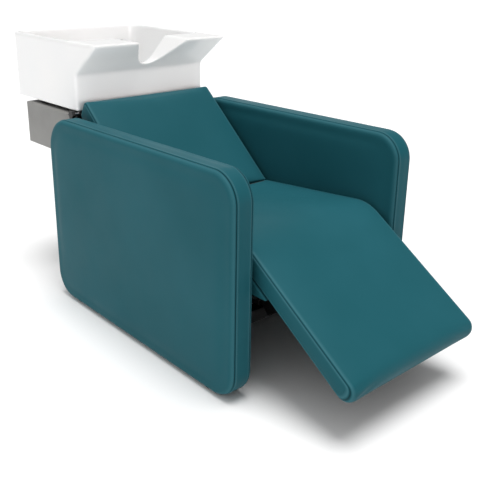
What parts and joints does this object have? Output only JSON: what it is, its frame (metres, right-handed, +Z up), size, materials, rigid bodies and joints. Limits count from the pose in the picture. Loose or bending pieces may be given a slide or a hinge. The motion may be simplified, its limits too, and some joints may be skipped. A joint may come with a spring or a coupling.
{
  "type": "shampoo backwash unit",
  "caption": "Upholstered salon wash chair with slab arms, a reclined back, a lifting legrest and a tilting ceramic basin with a neck notch over a grey technical box.",
  "frame": {"origin": "centre of the footprint box on the floor", "axes": "+Z up, the client faces -Y, +X is the client's left"},
  "size_m": [0.73, 1.6846, 0.904],
  "materials": {
    "upholstery": "smooth teal leatherette, satin",
    "plywood": "sealed birch plywood",
    "frame_steel": "black powder coat",
    "fastener": "zinc plated",
    "box_paint": "warm grey powder coat, satin",
    "ceramic": "white gloss glaze",
    "chrome": "polished chrome",
    "brass": "plain brass",
    "black_plastic": "moulded, fine grain",
    "button_plastic": "moulded, satin",
    "white_plastic": "moulded, satin",
    "rubber": "moulded rubber",
    "black_laminate": "black laminate"
  },
  "bodies": {
    "base": {"lower_frame": "frame_steel", "seat_frame": "frame_steel", "rear_frame": "frame_steel", "arm_core_left": "plywood", "arm_core_right": "plywood", "arm_cover_left": "upholstery", "arm_cover_right": "upholstery", "arm_bolts": "fastener", "arm_glides": "black_plastic", "seat_board": "plywood", "seat_cushion": "upholstery", "seat_side_left": "upholstery", "seat_side_right": "upholstery", "backrest_board": "plywood", "backrest_cushion": "upholstery", "legrest_hinge_pins": "fastener", "actuator_body": "black_plastic", "clevis_pin": "fastener", "basin_bracket": "frame_steel", "tilt_bushes": "black_plastic", "box_shell": "box_paint", "box_rear_panel": "box_paint", "panel_screws": "fastener", "bumpers": "rubber", "rear_closing_panel": "black_laminate", "control_housing": "black_plastic", "power_supply": "black_plastic", "cable_gland": "black_plastic", "cold_inlet": "brass", "hot_inlet": "brass", "waste_outlet": "white_plastic", "waste_hose": "white_plastic"},
    "legrest": {"legrest_board": "plywood", "legrest_cushion": "upholstery", "legrest_bracket": "frame_steel", "legrest_bushes": "black_plastic", "lever_pin": "fastener"},
    "ram": {"actuator_rod": "fastener"},
    "basin_unit": {"basin": "ceramic", "basin_plate": "frame_steel", "basin_bolts": "fastener", "waste_body": "chrome", "waste_gasket": "rubber", "waste_nut": "black_plastic", "hose_outlet": "chrome", "hose_outlet_nut": "brass", "tilt_shaft": "fastener"},
    "strainer": {"strainer_dome": "chrome"},
    "clamp_knob": {"tilt_knob": "black_plastic"},
    "up_button": {"button_up": "button_plastic"},
    "down_button": {"button_down": "button_plastic"}
  },
  "joints": [
    {"name": "legrest_lift", "type": "hinge", "parent": "base", "child": "legrest", "pos_m": [0, -0.43758, 0.41129], "axis": [-1, 0, 0], "range_deg": [0, 34]},
    {"name": "ram_slide", "type": "slide", "parent": "base", "child": "ram", "axis": [0, -0.797, 0.604], "range_m": [0, 0.0655]},
    {"name": "basin_tilt", "type": "hinge", "parent": "base", "child": "basin_unit", "pos_m": [0, 0.4123, 0.65], "axis": [1, 0, 0], "range_deg": [0, 8], "deforming": ["waste_hose"]},
    {"name": "strainer_lift", "type": "slide", "parent": "basin_unit", "child": "strainer", "axis": [0, 0, 1], "range_m": [0, 0.03]},
    {"name": "clamp_turn", "type": "hinge", "parent": "basin_unit", "child": "clamp_knob", "pos_m": [-0.288, 0.4123, 0.65], "axis": [-1, 0, 0], "range_deg": [0, 180]},
    {"name": "up_press", "type": "slide", "parent": "base", "child": "up_button", "axis": [0, -1, 0], "range_m": [0, 0.002], "stiffness_N_per_m": 600},
    {"name": "down_press", "type": "slide", "parent": "base", "child": "down_button", "axis": [0, -1, 0], "range_m": [0, 0.002], "stiffness_N_per_m": 600}
  ],
  "couplings": [
    {"joint": "ram_slide", "follows": "legrest_lift", "m_per_rad": 0.1094}
  ]
}
